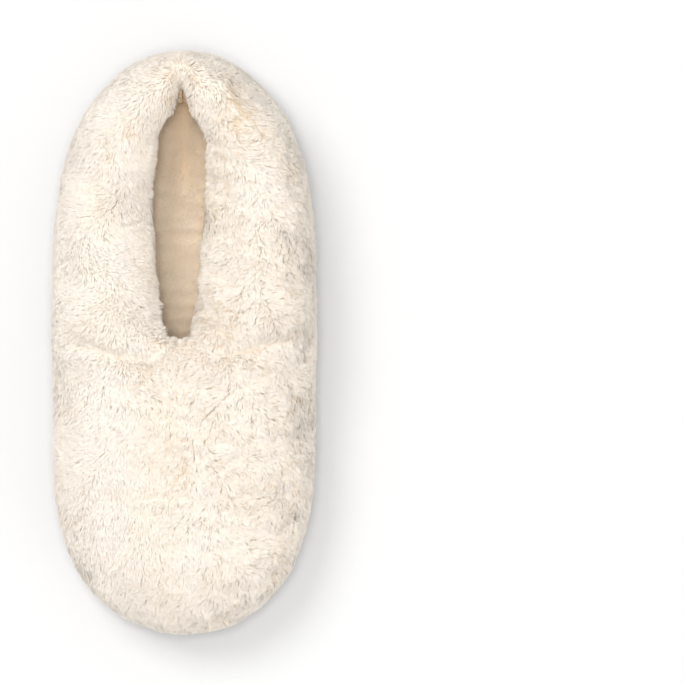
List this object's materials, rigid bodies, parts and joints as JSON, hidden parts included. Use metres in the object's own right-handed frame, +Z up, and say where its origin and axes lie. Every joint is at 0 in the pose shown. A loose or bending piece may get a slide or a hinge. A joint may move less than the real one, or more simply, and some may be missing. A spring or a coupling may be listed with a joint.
{
  "type": "fluffy house slipper",
  "caption": "Closed-back plush house slipper: rounded fluffy upper with a narrow slit-shaped foot opening, fleece lining, padded footbed and a lugged sole that flexes at the ball.",
  "frame": {"origin": "on the floor, under the middle of the slipper's length and width", "axes": "+Z up, +Y from the toe towards the heel, +X to the right when looked down on with the heel at the top"},
  "size_m": [0.1248, 0.275, 0.0725],
  "materials": {
    "plush": "long-pile plush, matt",
    "lining": "short-pile fleece, matt",
    "padding": "soft wadding, matt",
    "counter": "stiffened non-woven, matt",
    "elastic": "round elastic cord, matt",
    "tape": "woven seam tape, matt",
    "outsole": "moulded thermoplastic rubber, matt",
    "midsole": "closed-cell foam, matt",
    "board": "fibre insole board, matt",
    "foam": "open-cell foam, matt",
    "cover": "short-pile fleece, matt"
  },
  "bodies": {
    "rear": {"outsole_rear": "outsole", "midsole_rear": "midsole", "insole_board_rear": "board", "footbed_foam_rear": "foam", "footbed_cover_rear": "cover", "vamp_plush_instep": "plush", "quarter_plush_left": "plush", "quarter_plush_right": "plush", "vamp_padding_instep": "padding", "quarter_padding_left": "padding", "quarter_padding_right": "padding", "vamp_lining_instep": "lining", "quarter_lining_left": "lining", "quarter_lining_right": "lining", "heel_counter": "counter", "heel_seam_tape": "tape", "topline_elastic": "elastic"},
    "forefoot": {"outsole_forefoot": "outsole", "midsole_forefoot": "midsole", "insole_board_forefoot": "board", "footbed_foam_forefoot": "foam", "footbed_cover_forefoot": "cover", "vamp_plush_toe": "plush", "vamp_padding_toe": "padding", "vamp_lining_toe": "lining"}
  },
  "joints": [
    {"name": "toe_flex", "type": "hinge", "parent": "rear", "child": "forefoot", "pos_m": [0, -0.046, 0.0186], "axis": [-1, 0, 0], "range_deg": [0, 35], "stiffness_Nm_per_rad": 0.3, "deforming": ["vamp_plush_toe", "vamp_padding_toe", "vamp_lining_toe"]}
  ]
}
